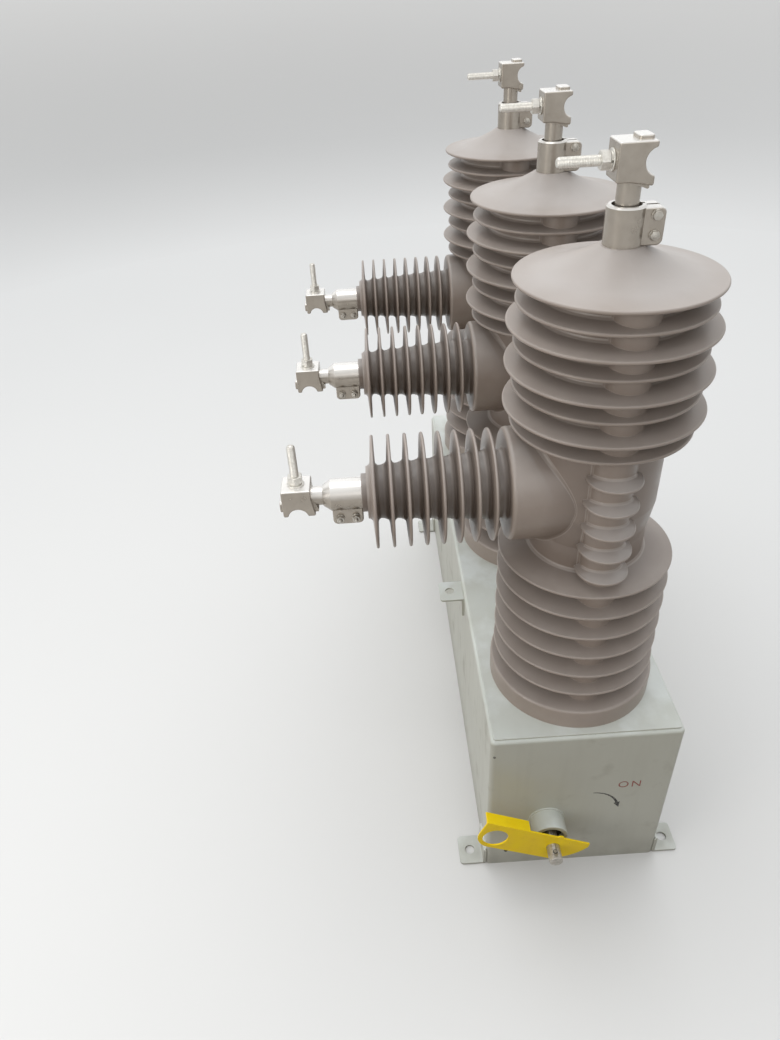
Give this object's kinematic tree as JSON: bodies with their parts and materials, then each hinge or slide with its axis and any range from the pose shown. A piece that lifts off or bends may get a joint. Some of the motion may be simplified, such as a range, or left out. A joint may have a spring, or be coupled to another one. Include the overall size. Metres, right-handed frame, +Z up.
{
  "type": "outdoor vacuum circuit breaker",
  "caption": "Outdoor vacuum circuit breaker: shedded epoxy poles with top and side stud terminals on a long steel mechanism housing with a yellow hand lever.",
  "frame": {"origin": "centre of the underside of the mechanism housing", "axes": "+Z up; +X along the row of poles towards the end with the hand lever; -Y is the side that the horizontal terminals point to"},
  "size_m": [1.133, 0.636, 1.1705],
  "materials": {
    "epoxy": "satin cast epoxy",
    "housing_paint": "semi-gloss pale grey-green paint",
    "tinned_metal": "satin tinned casting",
    "stud_steel": "plated",
    "shaft_steel": "turned",
    "yellow_paint": "gloss yellow paint",
    "seal_rubber": "matt"
  },
  "bodies": {
    "breaker": {"foot_back_left": "housing_paint", "foot_back_right": "housing_paint", "foot_front_left": "housing_paint", "foot_front_right": "housing_paint", "handle_collar": "housing_paint", "handle_seal": "seal_rubber", "housing_floor": "housing_paint", "housing_lid": "housing_paint", "housing_shell": "housing_paint", "lug_back_left": "housing_paint", "lug_back_right": "housing_paint", "lug_front_left": "housing_paint", "lug_front_right": "housing_paint", "pole_a_insulator": "epoxy", "pole_a_side_clamp": "tinned_metal", "pole_a_side_connector": "tinned_metal", "pole_a_side_stud": "stud_steel", "pole_a_top_clamp": "tinned_metal", "pole_a_top_connector": "tinned_metal", "pole_a_top_stud": "stud_steel", "pole_b_insulator": "epoxy", "pole_b_side_clamp": "tinned_metal", "pole_b_side_connector": "tinned_metal", "pole_b_side_stud": "stud_steel", "pole_b_top_clamp": "tinned_metal", "pole_b_top_connector": "tinned_metal", "pole_b_top_stud": "stud_steel", "pole_c_insulator": "epoxy", "pole_c_side_clamp": "tinned_metal", "pole_c_side_connector": "tinned_metal", "pole_c_side_stud": "stud_steel", "pole_c_top_clamp": "tinned_metal", "pole_c_top_connector": "tinned_metal", "pole_c_top_stud": "stud_steel"},
    "handle": {"handle_shaft": "shaft_steel", "handle_lever": "yellow_paint", "handle_pin": "shaft_steel"}
  },
  "joints": [
    {"name": "lever_turn", "type": "hinge", "parent": "breaker", "child": "handle", "pos_m": [0.55, -0.051, 0.133], "axis": [1, 0, 0], "range_deg": [-40, 40]}
  ]
}
